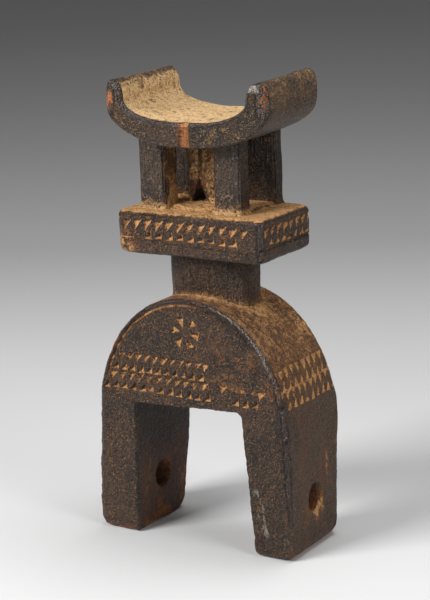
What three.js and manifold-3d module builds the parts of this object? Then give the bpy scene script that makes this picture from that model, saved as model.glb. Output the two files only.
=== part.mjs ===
// A carved wooden weaver's pulley yoke with a miniature stool as its finial.
// The real object is one block of wood. It is parted here where the carver changed from one
// form to the next: two legs, the arch that joins them, a neck, a platform, four posts round a
// pierced column, and the curved seat on top.
// Millimetres, +Z up, the front face looks along -Y. The origin is under the middle of the
// bounding box, at the height of the soles.
import * as THREE from 'three';
import { mergeVertices } from 'three/addons/utils/BufferGeometryUtils.js';
import Module from 'manifold-3d';

const wasm = await Module();
wasm.setup();

// ---- Driving dimensions --------------------------------------------------------------------

// Yoke: the arch and its two legs
const shoulderHalfWidth = 42.8;
const shoulderX = 0.8; // the arch's middle line
const yokeHeight = 98.6;
const springHeight = 46.2; // where the legs' straight sides turn into the arch's curve
const leftSoleReach = 45.7; // outer edge of each sole, from the middle
const rightSoleReach = 44;
const archFullness = 2.1; // exponent of the arch's superellipse, 2 is a plain ellipse
const yokeSetback = -1.3; // middle of the yoke along Y
const depthAtSoles = 37;
const depthAtNotch = 41.6;
const depthAtCrown = 38.4;
const crownShift = -0.8; // along Y, as the crown leans to the front
const leftLegBackWear = 3; // missing at the left leg's back, at the sole
const soleOuterRound = 4;
const soleInnerRound = 2.5;
const soleFrontRound = 2.5;
const soleBackRound = 7;

// Notch between the legs, whose right side the carver cut leaning
const notchLeftAtTop = 24.4;
const notchLeftAtSole = 26.6;
const notchRightAtTop = 24;
const notchRightAtSole = 26.8;
const notchHeightLeft = 54.6;
const notchHeightRight = 57;
const notchCornerRound = 3;

// Bore for the pulley's axle, through both legs
const boreDiameter = 9.8;
const boreHeight = 20;
const boreOffset = 0; // along Y, from the middle of the yoke
const boreFacets = 32;

// Neck: an oval stem
const neckHeight = 15.6; // from the crown of the arch to the platform
const neckWidth = 35.2;
const neckDepth = 24.8;
const neckX = 1.3;
const neckY = -0.1;
const neckFullness = 2.5;

// Posts: four corner posts of unlike section, in one slightly turned rectangle
const postsWidth = 45.3;
const postsDepth = 31;
const postsHeight = 25.7; // from the platform to the lowest line of the seat
const postsX = -0.6;
const postsY = 1.9;
const postsTwist = -1; // degrees about +Z
const postRound = 0.8;
const postSections = {
  post_front_left: { side: -1, row: -1, width: 11.2, depth: 9.8 },
  post_front_right: { side: 1, row: -1, width: 11.6, depth: 7 },
  post_back_left: { side: -1, row: 1, width: 11.4, depth: 6.2 },
  post_back_right: { side: 1, row: 1, width: 13.6, depth: 6.2 },
};

// Platform: a thick slab under the posts, with a ledge past them on each side
const ledgeLeft = 7.4;
const ledgeRight = 11.6;
const ledgeFront = 6.3;
const ledgeBack = 1.5;
const platformThickness = 16.6;
const platformCorner = 2.4;

// Centre column, with a triangular tunnel from front to back
const columnWidth = 14;
const columnDepth = 12.4;
const columnX = -2.2; // from the middle of the posts
const columnY = 3.6;
const tunnelBase = 6;
const tunnelHeight = 8.6;
const tunnelSill = 1.4; // wood under the tunnel
const tunnelX = -1.9; // from the middle of the column

// Seat: a crescent with upturned ends
const seatHalfWidth = 33.8;
const seatDepth = 48.6;
const seatThickness = 9.7; // at the middle
const seatDish = 15; // from the bottom of the dish to the tips
const seatTipRadius = 3.3;
const seatUnderFullness = 2.4;
const seatDishFullness = 2.2;
const seatCorner = 3.5;
const seatX = 2.5;
const seatTwist = 6; // degrees about +Z

const jointGap = 0.3; // between two pieces where one is cut to the other's curve
const arcSteps = 24; // straight steps in a quarter of a curved outline
const roundSteps = 4; // straight steps in a small rounded corner

// ---- Heights that follow -------------------------------------------------------------------

const platformUnder = yokeHeight + neckHeight;
const platformTop = platformUnder + platformThickness;
const seatUnder = platformTop + postsHeight;
const seatRise = seatThickness + seatDish;
const farPast = 20; // how far a cutting tool reaches past what it cuts
const widestReach = Math.max(leftSoleReach, rightSoleReach, shoulderHalfWidth + shoulderX);

// ---- Outlines ------------------------------------------------------------------------------

const point = (x, y) => new THREE.Vector2(x, y);

// Half of a superellipse, |x/a|^n + |y/b|^n = 1, from x = -a over the top (or the bottom, with
// b negative) to x = +a. Steps are even in angle, so they crowd where the curve turns.
function superellipseHalf(a, b, n, centreY) {
  const points = [];
  for (let i = 0; i <= 2 * arcSteps; i += 1) {
    const angle = Math.PI * (1 - i / (2 * arcSteps));
    const c = Math.cos(angle);
    const s = Math.max(Math.sin(angle), 0);
    const x = a * Math.sign(c) * Math.abs(c) ** (2 / n);
    points.push(point(Math.abs(c) < 1e-9 ? 0 : x, centreY + b * s ** (2 / n)));
  }
  return points;
}

// A closed superellipse about (x, y)
function superellipse(a, b, n, x, y) {
  const top = superellipseHalf(a, b, n, 0);
  const under = superellipseHalf(a, -b, n, 0).reverse().slice(1, -1);
  return [...top, ...under].map((p) => point(p.x + x, p.y + y));
}

// A corner of a polygon replaced by an arc of the given radius
function roundedCorner(before, corner, after, radius) {
  const toBefore = before.clone().sub(corner).normalize();
  const toAfter = after.clone().sub(corner).normalize();
  const half = Math.acos(THREE.MathUtils.clamp(toBefore.dot(toAfter), -1, 1)) / 2;
  const reach = radius / Math.tan(half);
  const centre = corner.clone().add(
    toBefore.clone().add(toAfter).normalize().multiplyScalar(radius / Math.sin(half)));
  const start = corner.clone().addScaledVector(toBefore, reach).sub(centre);
  const end = corner.clone().addScaledVector(toAfter, reach).sub(centre);
  const sweep = Math.atan2(start.cross(end), start.dot(end));
  const points = [];
  for (let i = 0; i <= roundSteps; i += 1) {
    points.push(start.clone().rotateAround(point(0, 0), (sweep * i) / roundSteps).add(centre));
  }
  return points;
}

// A polygon from corners [x, y, radius], each rounded by its radius
function roundedPolygon(corners) {
  const at = (i) => {
    const [x, y] = corners[(i + corners.length) % corners.length];
    return point(x, y);
  };
  return corners.flatMap(([x, y, radius], i) => (
    radius > 0 ? roundedCorner(at(i - 1), point(x, y), at(i + 1), radius) : [point(x, y)]));
}

function roundedRectangle(width, depth, radius) {
  const [w, d] = [width / 2, depth / 2];
  return roundedPolygon([[-w, -d, radius], [w, -d, radius], [w, d, radius], [-w, d, radius]]);
}

// ---- Solids --------------------------------------------------------------------------------

// A prism of an outline, standing on the plane Z = 0
function prismUp(outline, height) {
  return new THREE.ExtrudeGeometry(new THREE.Shape(outline), {
    depth: height, bevelEnabled: false, steps: 1,
  });
}

// A prism of an outline drawn in X and Z, with its middle on the plane Y = 0
function prismAlongY(outline, length) {
  return prismUp(outline, length).rotateX(Math.PI / 2).translate(0, length / 2, 0);
}

// A prism of an outline drawn in Y and Z, with its middle on the plane X = 0
function prismAlongX(outline, length) {
  return prismUp(outline, length).rotateX(Math.PI / 2).rotateZ(Math.PI / 2)
    .translate(-length / 2, 0, 0);
}

function solidOf(geometry) {
  const bare = geometry.clone();
  bare.deleteAttribute('normal');
  bare.deleteAttribute('uv');
  const merged = mergeVertices(bare, 1e-4);
  return new wasm.Manifold(new wasm.Mesh({
    numProp: 3,
    vertProperties: new Float32Array(merged.attributes.position.array),
    triVerts: new Uint32Array(merged.index.array),
  }));
}

function geometryOf(solid) {
  const mesh = solid.getMesh();
  const geometry = new THREE.BufferGeometry();
  geometry.setAttribute('position', new THREE.BufferAttribute(mesh.vertProperties, 3));
  geometry.setIndex(new THREE.BufferAttribute(mesh.triVerts, 1));
  geometry.computeVertexNormals();
  return geometry;
}

// ---- Yoke: arch and legs -------------------------------------------------------------------

// The crown and both shoulders, grown by margin, down to the height where the legs begin
function shoulderLine(margin) {
  const rise = yokeHeight - springHeight;
  return superellipseHalf(
    shoulderHalfWidth + margin, rise + margin, archFullness, springHeight)
    .map((p) => point(p.x + shoulderX, p.y));
}

// Front view of arch and legs together, with the notch
function yokeOutline() {
  const feetAndNotch = roundedPolygon([
    [shoulderX + shoulderHalfWidth, springHeight, 0],
    [rightSoleReach, 0, soleOuterRound],
    [notchRightAtSole, 0, soleInnerRound],
    [notchRightAtTop, notchHeightRight, notchCornerRound],
    [-notchLeftAtTop, notchHeightLeft, 0],
    [-notchLeftAtSole, 0, soleInnerRound],
    [-leftSoleReach, 0, soleOuterRound],
    [shoulderX - shoulderHalfWidth, springHeight, 0],
  ]);
  return [...shoulderLine(0).slice(1, -1), ...feetAndNotch];
}

// Side view: the block is deepest at the notch and draws in to the soles and the crown.
// backWear is what is missing at the back of the sole.
function yokeSideOutline(backWear) {
  const middle = (notchHeightLeft + notchHeightRight) / 2;
  return roundedPolygon([
    [-depthAtSoles / 2, 0, soleFrontRound],
    [depthAtSoles / 2 - backWear, 0, soleBackRound],
    [depthAtNotch / 2, middle, 0],
    [crownShift + depthAtCrown / 2, yokeHeight, 0],
    [crownShift - depthAtCrown / 2, yokeHeight, 0],
    [-depthAtNotch / 2, middle, 0],
  ]);
}

function yokeSide(backWear) {
  return solidOf(prismAlongX(yokeSideOutline(backWear), 2 * (widestReach + farPast)));
}

function bore() {
  return solidOf(new THREE.CylinderGeometry(
    boreDiameter / 2, boreDiameter / 2, 2 * (widestReach + farPast), boreFacets)
    .rotateZ(Math.PI / 2).translate(0, boreOffset, boreHeight));
}

// The space under the arch on one side of the middle, as tall as that side's leg
function legSpace(side, height) {
  const width = widestReach + farPast;
  const depth = depthAtNotch + farPast;
  return solidOf(new THREE.BoxGeometry(width, depth, height + farPast)
    .translate((side * width) / 2, 0, (height - farPast) / 2));
}

const yoke = solidOf(prismAlongY(yokeOutline(), depthAtNotch))
  .intersect(yokeSide(0))
  .subtract(bore());
const leftSpace = legSpace(-1, notchHeightLeft);
const rightSpace = legSpace(1, notchHeightRight - notchCornerRound);
const leftLeg = yoke.intersect(leftSpace).intersect(yokeSide(leftLegBackWear));
const rightLeg = yoke.intersect(rightSpace);
const arch = yoke.subtract(leftSpace).subtract(rightSpace);

// ---- Neck ----------------------------------------------------------------------------------

// An oval stem whose foot is hollowed to sit over the arch
function neckSolid() {
  const outline = superellipse(neckWidth / 2, neckDepth / 2, neckFullness, neckX, neckY);
  const stem = solidOf(prismUp(outline, platformUnder));
  const saddleOutline = [
    point(shoulderX - shoulderHalfWidth - jointGap, 0),
    ...shoulderLine(jointGap),
    point(shoulderX + shoulderHalfWidth + jointGap, 0),
  ].reverse();
  const saddle = prismAlongY(saddleOutline, 2 * neckDepth + farPast);
  const below = new THREE.BoxGeometry(4 * neckWidth, 4 * neckDepth, 2 * springHeight);
  return stem.subtract(solidOf(saddle)).subtract(solidOf(below));
}

// ---- Seat ----------------------------------------------------------------------------------

// Front view, with Z = 0 at the lowest line of the seat: the underside, the right tip, the
// dish and the left tip. margin lowers and widens the underside.
function seatUnderLine(margin) {
  const rise = seatRise - seatTipRadius;
  return superellipseHalf(
    seatHalfWidth + margin, -(rise + margin), seatUnderFullness, rise);
}

function tipArc(centreX, fromAngle) {
  const points = [];
  for (let i = 1; i < 2 * roundSteps; i += 1) {
    const angle = fromAngle + (Math.PI * i) / (2 * roundSteps);
    points.push(point(
      centreX + seatTipRadius * Math.cos(angle),
      seatRise - seatTipRadius + seatTipRadius * Math.sin(angle)));
  }
  return points;
}

function seatOutline() {
  const rise = seatRise - seatTipRadius;
  const innerHalf = seatHalfWidth - 2 * seatTipRadius;
  const tipX = seatHalfWidth - seatTipRadius;
  const dish = superellipseHalf(innerHalf, -(rise - seatThickness), seatDishFullness, rise);
  return [
    ...seatUnderLine(0),
    ...tipArc(tipX, 0),
    ...dish.reverse(),
    ...tipArc(-tipX, 0),
  ];
}

function seatSolid() {
  const crescent = solidOf(prismAlongY(seatOutline(), seatDepth));
  const plan = roundedRectangle(2 * seatHalfWidth, seatDepth, seatCorner);
  return crescent.intersect(solidOf(prismUp(plan, seatRise)));
}

// Everything over the seat's underside, lowered by the gap, in the seat's own frame
function seatCutter() {
  const outline = [
    point(-seatHalfWidth - jointGap, seatRise + farPast),
    ...seatUnderLine(jointGap),
    point(seatHalfWidth + jointGap, seatRise + farPast),
  ];
  return prismAlongY(outline, 2 * seatDepth);
}

// ---- Posts and column ----------------------------------------------------------------------

// A square-cut shaft that stands on the platform, cut off under the seat
function shaftUnderSeat(width, depth, x, y, radius, seatToPosts) {
  const blank = prismUp(roundedRectangle(width, depth, radius), postsHeight + seatRise)
    .translate(x, y, 0);
  return solidOf(blank).subtract(solidOf(seatCutter().applyMatrix4(seatToPosts)));
}

// The triangular tunnel, apex up, from the column's front to its back
function tunnel() {
  const outline = [
    point(-tunnelBase / 2, 0),
    point(tunnelBase / 2, 0),
    point(0, tunnelHeight),
  ];
  return solidOf(prismAlongY(outline, columnDepth + farPast)
    .translate(columnX + tunnelX, columnY, tunnelSill));
}

// ---- Assembly ------------------------------------------------------------------------------

function wood(color, roughness) {
  return new THREE.MeshStandardMaterial({ color, roughness, metalness: 0 });
}

const crustedWood = wood(0x3a2d24, 0.72);
const handledWood = wood(0x4a3323, 0.5);
const dustedWood = wood(0x6b4f33, 0.8);

function addPiece(parent, name, solid, material) {
  const mesh = new THREE.Mesh(geometryOf(solid), material);
  mesh.name = name;
  parent.add(mesh);
  return mesh;
}

const carving = new THREE.Group();

const yokeGroup = new THREE.Group();
yokeGroup.position.set(0, yokeSetback, 0);
addPiece(yokeGroup, 'left_leg', leftLeg, crustedWood);
addPiece(yokeGroup, 'right_leg', rightLeg, crustedWood);
addPiece(yokeGroup, 'arch', arch, crustedWood);
carving.add(yokeGroup);

addPiece(carving, 'neck', neckSolid(), handledWood);

const platformOutline = roundedRectangle(
  postsWidth + ledgeLeft + ledgeRight, postsDepth + ledgeFront + ledgeBack, platformCorner);
const platform = addPiece(
  carving, 'platform', solidOf(prismUp(platformOutline, platformThickness)), crustedWood);
platform.position.set(
  postsX + (ledgeRight - ledgeLeft) / 2, postsY + (ledgeBack - ledgeFront) / 2, platformUnder);

const seatGroup = new THREE.Group();
seatGroup.position.set(seatX, 0, seatUnder);
seatGroup.rotation.z = THREE.MathUtils.degToRad(seatTwist);
seatGroup.updateMatrix();
addPiece(seatGroup, 'seat', seatSolid(), dustedWood);
carving.add(seatGroup);

const postsGroup = new THREE.Group();
postsGroup.position.set(postsX, postsY, platformTop);
postsGroup.rotation.z = THREE.MathUtils.degToRad(postsTwist);
postsGroup.updateMatrix();
const seatToPosts = postsGroup.matrix.clone().invert().multiply(seatGroup.matrix);

for (const [name, { side, row, width, depth }] of Object.entries(postSections)) {
  const x = (side * (postsWidth - width)) / 2;
  const y = (row * (postsDepth - depth)) / 2;
  addPiece(postsGroup, name,
    shaftUnderSeat(width, depth, x, y, postRound, seatToPosts), handledWood);
}

const columnBlank = shaftUnderSeat(
  columnWidth, columnDepth, columnX, columnY, postRound, seatToPosts);
addPiece(postsGroup, 'centre_column', columnBlank.subtract(tunnel()), handledWood);
carving.add(postsGroup);

// The origin goes under the middle of the bounding box
const middle = new THREE.Box3().setFromObject(carving, true).getCenter(new THREE.Vector3());
carving.position.set(-middle.x, -middle.y, 0);
const object = new THREE.Group();
object.add(carving);

export default object;
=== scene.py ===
# %% [markdown]
# # A weaver's pulley yoke with a little stool on top
# The real object is one block of dark hardwood. Its two legs once held a wooden pulley wheel on
# an axle, and the stool at the top is its finial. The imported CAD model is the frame: every
# surface below takes its place from the CAD boxes and is drawn again with the carver's cuts,
# the worn edges and the dust that a plain solid can't have.

# %% Load the frame
import math

import bpy
import numpy as np
from mathutils import Matrix, Vector


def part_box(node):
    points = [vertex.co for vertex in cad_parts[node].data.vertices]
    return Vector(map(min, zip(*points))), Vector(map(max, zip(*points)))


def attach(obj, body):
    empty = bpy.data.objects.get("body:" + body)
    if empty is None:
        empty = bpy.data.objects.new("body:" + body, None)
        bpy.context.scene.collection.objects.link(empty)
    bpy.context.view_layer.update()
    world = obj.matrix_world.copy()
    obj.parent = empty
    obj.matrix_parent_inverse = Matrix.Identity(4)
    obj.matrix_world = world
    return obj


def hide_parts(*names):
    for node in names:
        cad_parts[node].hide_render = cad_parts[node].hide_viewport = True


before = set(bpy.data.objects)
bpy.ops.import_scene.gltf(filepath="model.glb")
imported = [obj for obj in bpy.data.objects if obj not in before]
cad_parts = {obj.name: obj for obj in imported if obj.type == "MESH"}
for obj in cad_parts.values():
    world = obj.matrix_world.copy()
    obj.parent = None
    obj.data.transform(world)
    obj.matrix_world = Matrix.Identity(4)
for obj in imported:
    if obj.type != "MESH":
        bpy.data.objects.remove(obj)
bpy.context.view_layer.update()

# %% [markdown]
# ## Camera
# A long lens from the front right, a little above the seat, shows the front and the right side
# at once. A camera looks along its own -Z, so its matrix holds its right, its up and its
# backward direction as columns. A small roll matches how the block leans in view.

# %% Camera
MM = 0.001


def turned(right, up, degrees):
    """The right and up directions turned about the line of sight by some degrees."""
    c, s = math.cos(math.radians(degrees)), math.sin(math.radians(degrees))
    return right * c + up * s, up * c - right * s


view_azimuth, view_elevation, view_roll = math.radians(32.57), math.radians(13.97), -2.03
view_distance = 680.4 * MM
view_target = np.array([2.0, -0.7, 94.0]) * MM
view_aside = 0.44 * MM          # the aim is this far left of the target
SENSOR, LENS = 36, 105.64       # mm

backward = np.array([math.sin(view_azimuth) * math.cos(view_elevation),
                     -math.cos(view_azimuth) * math.cos(view_elevation),
                     math.sin(view_elevation)])
sideways = np.array([math.cos(view_azimuth), math.sin(view_azimuth), 0.0])
camera_right, camera_up = turned(sideways, np.cross(backward, sideways), view_roll)
camera_place = view_target - view_aside * sideways + backward * view_distance

camera = bpy.data.objects.new("camera", bpy.data.cameras.new("camera"))
camera.data.sensor_width = SENSOR
camera.data.lens = LENS
camera.data.clip_start = 0.01
camera.matrix_world = Matrix(
    np.vstack([np.column_stack([camera_right, camera_up, backward, camera_place]), [0, 0, 0, 1]]))
bpy.context.scene.collection.objects.link(camera)
bpy.context.scene.camera = camera
print("camera at", np.round(camera_place, 3), "lens", camera.data.lens, "mm")

# %% [markdown]
# ## Small tools
# Old wood is never flat, so every surface here is pushed in and out by noise. Value noise gives
# each cell of a lattice a scrambled number and blends between them; a few sizes of it added
# together look like hand-tooled, crusted wood. The same numbers come out on every run.

# %% Blends and noise


def ease(low, high, value):
    """0 below low, 1 above high, and a smooth S between them. low may be the larger one."""
    t = np.clip((value - low) / (high - low), 0, 1)
    return t * t * (3 - 2 * t)


def scrambled(i, j, k, seed):
    """A number from 0 to 1 for each whole-number cell (i, j, k), by an integer hash."""
    h = (i * 374761393 + j * 668265263 + k * 1440662683 + seed * 974634777) & 0xFFFFFFFF
    h = ((h ^ (h >> 13)) * 1274126177) & 0xFFFFFFFF
    h = ((h ^ (h >> 15)) * 2246822519) & 0xFFFFFFFF
    return ((h ^ (h >> 16)) & 0xFFFFFF) / 0xFFFFFF


def noise(points, size, seed=0):
    """Value noise from -1 to 1 with cells of the given size in mm: at each point the numbers of
    the cell's eight corners, blended by an S curve along each axis."""
    q = points / size
    cell = np.floor(q).astype(np.int64)
    t = q - cell
    t = t * t * (3 - 2 * t)
    total = 0
    for di in (0, 1):
        for dj in (0, 1):
            for dk in (0, 1):
                weight = (np.abs(1 - di - t[..., 0]) * np.abs(1 - dj - t[..., 1])
                          * np.abs(1 - dk - t[..., 2]))
                total = total + weight * scrambled(
                    cell[..., 0] + di, cell[..., 1] + dj, cell[..., 2] + dk, seed)
    return 2 * total - 1


def rough(points, size, seed=0, layers=3):
    """Noise of several sizes added up, each half as wide and half as strong as the last."""
    total = sum(noise(points, size / 2 ** n, seed + n) / 2 ** n for n in range(layers))
    return total / (2 - 2 / 2 ** layers)


def parts_of(points):
    """The X, Y and Z of an array of points, as three arrays."""
    return points[..., 0], points[..., 1], points[..., 2]


def box_mm(node):
    """The lowest and the highest corner of a CAD node, in millimetres."""
    low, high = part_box(node)
    return np.array(low) / MM, np.array(high) / MM


print("noise over a millimetre grid:", np.round(noise(np.eye(3) * 5, 2.0), 2))

# %% [markdown]
# ## From rings to a solid
# Every piece of this carving is a stack of closed rings: a section that travels along a path.
# Neighbouring rings are joined by four-sided faces, and the two end rings are zipped shut
# across their middle, so each piece is a closed solid with no poles.

# %% Rings to mesh


def ring_normals(rings):
    """The outward direction at each point of a ring grid: the cross product of the step along
    the path and the step round the ring, both taken between neighbours."""
    along = np.gradient(rings, axis=0)
    around = (np.roll(rings, -1, axis=1) - np.roll(rings, 1, axis=1)) / 2
    n = np.cross(around, along)
    n /= np.maximum(np.linalg.norm(n, axis=2, keepdims=True), 1e-9)
    return n if volume_of(rings) > 0 else -n


def volume_of(rings):
    """The signed volume inside a ring grid whose faces run along x round: a sum of wedges."""
    middle = rings.mean(axis=(0, 1))
    a = rings[:-1] - middle
    b = np.roll(a, -1, axis=1)
    c = rings[1:] - middle
    return np.einsum("ijk,ijk->", np.cross(b - a, c - a), a)


def new_object(name, points, faces):
    """A mesh object from points in millimetres and a list of face arrays."""
    mesh = bpy.data.meshes.new(name)
    mesh.from_pydata((points * MM).tolist(), [], [f for part in faces for f in part.tolist()])
    mesh.update()
    piece = bpy.data.objects.new(name, mesh)
    bpy.context.scene.collection.objects.link(piece)
    return piece


def solid_from_rings(name, rings):
    """A closed solid: four-sided faces between the rings, and each end ring zipped shut by
    faces from each point to the one opposite it. A ring has an even number of points."""
    count, around = rings.shape[:2]
    index = np.arange(count * around).reshape(count, around)
    a = index[:-1]
    b = np.roll(index, -1, axis=1)[:-1]
    c = np.roll(index, -1, axis=1)[1:]
    d = index[1:]
    walls = np.stack([a, b, c, d], axis=-1).reshape(-1, 4)
    k = np.arange(around // 2 - 1)
    zipped = np.stack([k, around - 1 - k, around - 2 - k, k + 1], axis=-1)
    ends = [index[0][zipped], index[-1][zipped[:, ::-1]]]
    faces = np.concatenate([walls] + ends)
    if volume_of(rings) < 0:
        faces = faces[:, ::-1]
    return new_object(name, rings.reshape(-1, 3), [faces])


def points_of(piece):
    """Points and normals of a mesh, as arrays, in millimetres."""
    mesh = piece.data
    co = np.empty(len(mesh.vertices) * 3)
    mesh.vertices.foreach_get("co", co)
    no = np.empty(len(mesh.vertices) * 3)
    mesh.vertex_normals.foreach_get("vector", no)
    return co.reshape(-1, 3) / MM, no.reshape(-1, 3)


def paint(piece, **layers):
    """Named amounts from 0 to 1 at each point of the mesh, for its material to read."""
    for name, amount in layers.items():
        layer = piece.data.attributes.new(name, "FLOAT", "POINT")
        layer.data.foreach_set("value", np.clip(amount, 0, 1).astype(np.float32))


def finished(piece, node_names, material, sharp=55):
    """The last steps for each piece: smooth shading, its material, and what it stands for."""
    piece.data.shade_smooth()
    piece.data.set_sharp_from_angle(angle=math.radians(sharp))
    piece.data.materials.clear()
    piece.data.materials.append(material)
    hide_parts(*node_names)
    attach(piece, "root")
    piece.data.calc_loop_triangles()
    print(piece.name, "stands for", node_names, "with", len(piece.data.loop_triangles), "triangles")


def drilled(piece, cutter):
    """The piece with the cutter's closed shape taken out of it; the cutter is thrown away."""
    hole = piece.modifiers.new("hole", "BOOLEAN")
    hole.object = cutter
    hole.operation = "DIFFERENCE"
    hole.solver = "MANIFOLD"
    bpy.context.view_layer.update()
    carved = bpy.data.meshes.new_from_object(
        piece.evaluated_get(bpy.context.evaluated_depsgraph_get()))
    piece.modifiers.clear()
    piece.data = carved
    bpy.data.objects.remove(cutter)
    return piece


# %% [markdown]
# ## The wood
# One hardwood, seen in five states. Years of handling and soot left a nearly black crust, and
# under it the wood is umber. Pale clay dust lies in every hollow and on what faces up. Hands
# polished the arrises to a dark red gloss, and where the crust broke off, orange wood shows.
# Each surface carries painted amounts of dust, wear, bare wood and crust, and a fifth, chalk,
# where something pale has rubbed off on the wood. The dust amount also holds painted light, pale
# on chip walls that face the key light. The crust amount also holds painted shade on shaded chip
# walls, up the inner cheeks, on the back posts and in the column's tunnel. Chalk also holds
# painted highlights and sheen on arrises, post fronts and the seat. The material blends the
# states by them and breaks up each border with noise, as real patina does. Specks of dust half a
# millimetre wide lie everywhere, and the pits between the grains of the crust stay almost black.
# All patterns read Object coordinates, and all pieces sit at the origin, so they run on from
# piece to piece.

# %% Colours and nodes


def linear(hex_code):
    """An sRGB hex colour as the linear numbers that shaders work in."""
    s = np.array([int(hex_code[i:i + 2], 16) for i in (1, 3, 5)]) / 255
    return (*np.where(s <= 0.04045, s / 12.92, ((s + 0.055) / 1.055) ** 2.4), 1.0)


def add_node(tree, kind, settings=None, **inputs):
    """A node with its settings, and its inputs set or linked. An input is named by its socket,
    with _ for a space, or is s0, s1 ... by its place; a tuple (node, socket) is a link."""
    node = tree.nodes.new(kind)
    for key, value in (settings or {}).items():
        setattr(node, key, value)
    for key, value in inputs.items():
        by_place = key[0] == "s" and key[1:].isdigit()
        socket = node.inputs[int(key[1:]) if by_place else key.replace("_", " ")]
        if isinstance(value, tuple) and isinstance(value[0], bpy.types.Node):
            tree.links.new(value[0].outputs[value[1]], socket)
        else:
            socket.default_value = value
    return node


PIT = linear("#0c0806")
CRUST = linear("#1a1411")
UMBER = linear("#563c26")
# each dust has the colour of a thin film and of a thick layer
DUST_PALE = (linear("#8f6b40"), linear("#efc68e"))      # on the seat
DUST_OCHRE = (linear("#8a5a2e"), linear("#e0a86a"))     # on the yoke and the platform
DUST_TAN = (linear("#8b6237"), linear("#e2b277"))       # on the neck and between the posts
CHALK_AND_HIGHLIGHT = linear("#978d83")
RUBBED = linear("#2a1a13")
ORANGE = linear("#a8662f")
ORANGE_DEEP = linear("#5c3217")

FINE = 0.45     # mm, specks of dust
GRIT = 0.85     # mm, one grain of the crust
FLAKE = 2.4     # mm, a flake of the crust
CLOUD = 14.0    # mm, where the crust is thick or thin
GRAIN = 0.9     # mm, one line of the long grain
RELIEF = 3.4    # mm, the bump's depth for a whole swing of the noise


def noise_node(tree, coordinates, size_mm, detail=2.0, roughness=0.55):
    """Noise whose waves are about size_mm long, on coordinates in metres."""
    return add_node(tree, "ShaderNodeTexNoise", {"noise_dimensions": "3D"},
                    Vector=coordinates, Scale=1 / (size_mm * MM),
                    Detail=detail, Roughness=roughness)


print("patterns of", FINE, GRIT, FLAKE, "and", CLOUD, "mm")

# %% Wood


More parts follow.
